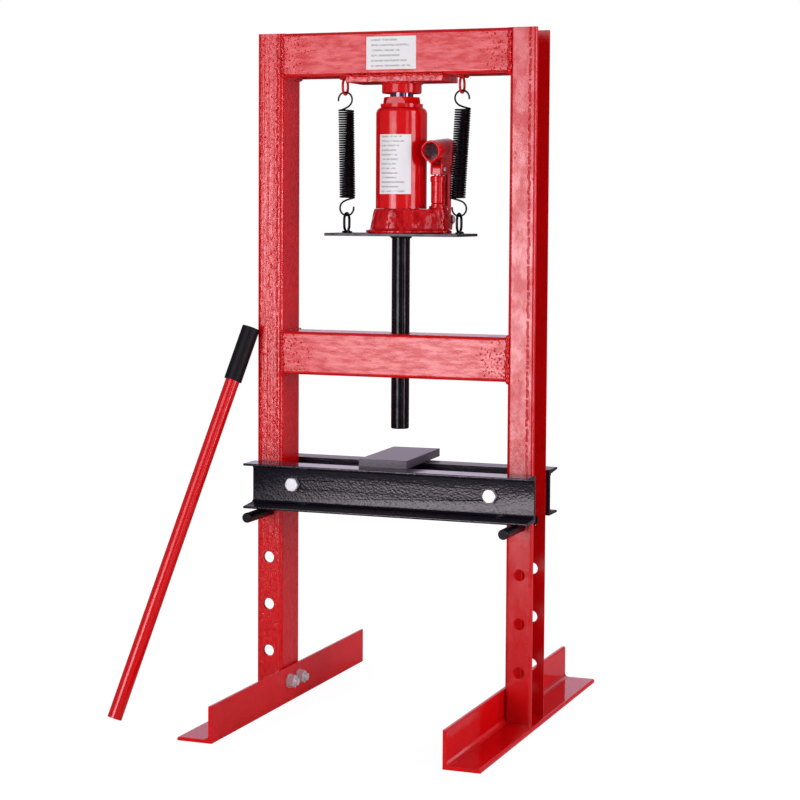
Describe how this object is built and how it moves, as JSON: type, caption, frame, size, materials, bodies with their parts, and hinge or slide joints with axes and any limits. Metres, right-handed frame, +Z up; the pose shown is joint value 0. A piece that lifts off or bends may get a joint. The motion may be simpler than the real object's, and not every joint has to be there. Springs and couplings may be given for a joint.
{
  "type": "hydraulic press",
  "caption": "Red H-frame workshop press with a bottle jack hung on return springs under its top beam, a press rod, a pinned channel bolster, angle iron feet and a leaning pump handle.",
  "frame": {"origin": "on the floor, midway between the two uprights and midway between their front and rear faces", "axes": "+X to the right, +Y to the rear, +Z up along the uprights and the press rod"},
  "size_m": [0.5548, 0.525, 0.94],
  "materials": {
    "red_paint": "gloss powder coat with orange peel",
    "red_casting": "gloss paint over a sand-cast surface",
    "hammer_paint": "dark grey hammertone paint",
    "black_paint": "gloss black paint",
    "spring_steel": "black oxide on drawn wire",
    "zinc": "bright zinc plate",
    "ground_steel": "ground and polished",
    "plain_steel": "machined",
    "black_rubber": "moulded, satin",
    "label_vinyl": "plain satin vinyl"
  },
  "bodies": {
    "frame": {"upright_left": "red_paint", "upright_right": "red_paint", "top_beam": "red_paint", "mid_beam": "red_paint", "rod_sleeve": "plain_steel", "thrust_plate": "red_paint", "ram_cap": "red_paint", "upper_rings": "red_paint", "foot_left": "red_paint", "foot_right": "red_paint", "foot_bolts": "zinc", "foot_nuts": "zinc", "foot_washers": "zinc", "bolster_front": "hammer_paint", "bolster_rear": "hammer_paint", "bolster_bolts": "zinc", "bolster_nuts": "zinc", "bolster_washers": "zinc", "bolster_spacers": "plain_steel", "arbor_plate": "hammer_paint", "spring_left": "spring_steel", "spring_right": "spring_steel", "jack_ram": "ground_steel", "ram_seal": "black_rubber", "pump_handle": "red_paint", "handle_grip": "black_rubber", "beam_label": "label_vinyl"},
    "press_head": {"carrier_plate": "black_paint", "press_rod": "black_paint", "lower_rings": "black_paint", "jack_base": "red_casting", "jack_tank": "red_paint", "jack_cylinder": "plain_steel", "jack_collar": "red_paint", "jack_top_nut": "red_paint", "pump_cylinder": "red_paint", "filler_plug": "black_rubber", "jack_label": "label_vinyl"},
    "link": {"link_bar": "red_paint", "link_pins": "zinc"},
    "lever": {"handle_socket": "red_paint"},
    "piston": {"pump_piston": "ground_steel", "piston_eye": "red_paint", "piston_pin": "zinc"},
    "valve": {"release_valve": "zinc"},
    "pin_left": {"support_pin_left": "black_paint"},
    "pin_right": {"support_pin_right": "black_paint"}
  },
  "joints": [
    {"name": "press_slide", "type": "slide", "parent": "frame", "child": "press_head", "axis": [0, 0, -1], "range_m": [0, 0.039], "stiffness_N_per_m": 2100, "springref_m": -0.035, "deforming": ["spring_left", "spring_right"]},
    {"name": "link_swing", "type": "hinge", "parent": "press_head", "child": "link", "pos_m": [0.054, 0.03, 0.684], "axis": [1, 0, 0], "range_deg": [0, 2.4]},
    {"name": "lever_pump", "type": "hinge", "parent": "link", "child": "lever", "pos_m": [0.054, 0.03, 0.753], "axis": [-1, 0, 0], "range_deg": [0, 30]},
    {"name": "piston_slide", "type": "slide", "parent": "press_head", "child": "piston", "axis": [0, 0, 1], "range_m": [0, 0.01414]},
    {"name": "valve_turn", "type": "hinge", "parent": "press_head", "child": "valve", "pos_m": [0.018, 0.05, 0.682], "axis": [0, 1, 0], "range_deg": [0, 360]},
    {"name": "pin_left_slide", "type": "slide", "parent": "frame", "child": "pin_left", "axis": [0, -1, 0], "range_m": [-0.04, 0.085]},
    {"name": "pin_right_slide", "type": "slide", "parent": "frame", "child": "pin_right", "axis": [0, -1, 0], "range_m": [-0.04, 0.085]}
  ],
  "couplings": [
    {"joint": "link_swing", "follows": "lever_pump", "ratio": 0.08},
    {"joint": "piston_slide", "follows": "lever_pump", "m_per_rad": 0.027}
  ]
}
